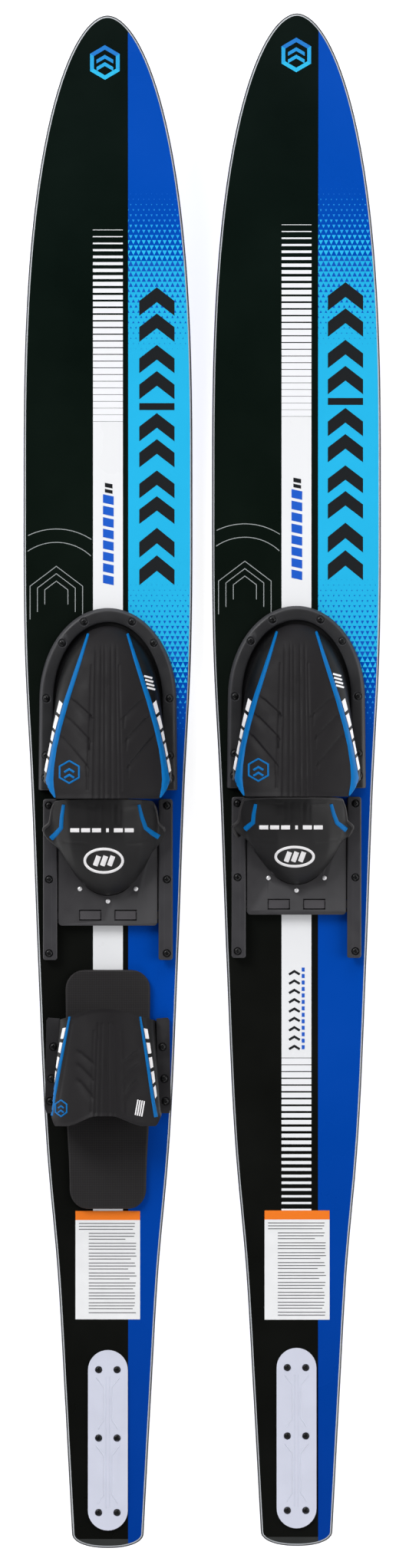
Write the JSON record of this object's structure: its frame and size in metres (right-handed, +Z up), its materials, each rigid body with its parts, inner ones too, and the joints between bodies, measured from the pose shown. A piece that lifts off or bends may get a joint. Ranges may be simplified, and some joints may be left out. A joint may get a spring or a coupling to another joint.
{
  "type": "water ski pair",
  "caption": "Pair of combination water skis with rocker, tail fins, slide-adjust rubber boots and a rear toe plate on one ski.",
  "frame": {"origin": "midway between the two skis at half length, on the floor plane they lie on", "axes": "+Y towards the ski tips, +X towards the right ski, +Z up, deck side up"},
  "size_m": [0.404, 1.7289, 0.1309],
  "materials": {
    "core_foam": "matte",
    "topsheet": "gloss",
    "base_laminate": "gloss",
    "insert_brass": "satin",
    "fin_plastic": "satin",
    "fin_plate_plastic": "satin",
    "screw_black": "satin",
    "frame_plastic": "satin",
    "tray_plastic": "satin",
    "tile_plastic": "satin",
    "boot_rubber": "matte",
    "heel_rubber": "matte",
    "footbed_eva": "matte",
    "rivet_steel": "satin",
    "spring_steel": "satin"
  },
  "bodies": {
    "left_ski": {"left_core": "core_foam", "left_topsheet": "topsheet", "left_base": "base_laminate", "left_inserts": "insert_brass", "left_fin": "fin_plastic", "left_fin_plate": "fin_plate_plastic", "left_fin_screws": "screw_black", "left_toe_frame": "frame_plastic", "left_toe_overlay": "boot_rubber", "left_toe_footbed": "footbed_eva", "left_frame_screws": "screw_black", "left_rail_inner": "frame_plastic", "left_rail_outer": "frame_plastic", "left_rail_screws": "screw_black", "left_rtp_footbed": "footbed_eva", "left_rtp_strap": "boot_rubber", "left_rtp_clamps": "frame_plastic", "left_rtp_screws": "screw_black"},
    "left_heel": {"left_heel_tray": "tray_plastic", "left_heel_cover": "frame_plastic", "left_heel_cup": "heel_rubber", "left_heel_pad": "footbed_eva", "left_heel_rivets": "rivet_steel", "left_lock_springs": "spring_steel"},
    "left_lock": {"left_lock_bar": "tile_plastic"},
    "right_ski": {"right_core": "core_foam", "right_topsheet": "topsheet", "right_base": "base_laminate", "right_inserts": "insert_brass", "right_fin": "fin_plastic", "right_fin_plate": "fin_plate_plastic", "right_fin_screws": "screw_black", "right_toe_frame": "frame_plastic", "right_toe_overlay": "boot_rubber", "right_toe_footbed": "footbed_eva", "right_frame_screws": "screw_black", "right_rail_inner": "frame_plastic", "right_rail_outer": "frame_plastic", "right_rail_screws": "screw_black"},
    "right_heel": {"right_heel_tray": "tray_plastic", "right_heel_cover": "frame_plastic", "right_heel_cup": "heel_rubber", "right_heel_pad": "footbed_eva", "right_heel_rivets": "rivet_steel", "right_lock_springs": "spring_steel"},
    "right_lock": {"right_lock_bar": "tile_plastic"}
  },
  "joints": [
    {"name": "left_heel_slide", "type": "slide", "parent": "left_ski", "child": "left_heel", "axis": [0, 1, 0], "range_m": [-0.03, 0.03]},
    {"name": "left_release", "type": "slide", "parent": "left_heel", "child": "left_lock", "axis": [0, 0, -1], "range_m": [0, 0.003], "stiffness_N_per_m": 150, "springref_m": -0.003, "deforming": ["left_lock_springs"]},
    {"name": "pair_spread", "type": "slide", "parent": "left_ski", "child": "right_ski", "axis": [1, 0, 0], "range_m": [0, 0.25]},
    {"name": "right_heel_slide", "type": "slide", "parent": "right_ski", "child": "right_heel", "axis": [0, 1, 0], "range_m": [-0.04, 0.02]},
    {"name": "right_release", "type": "slide", "parent": "right_heel", "child": "right_lock", "axis": [0, 0, -1], "range_m": [0, 0.003], "stiffness_N_per_m": 150, "springref_m": -0.003, "deforming": ["right_lock_springs"]}
  ]
}
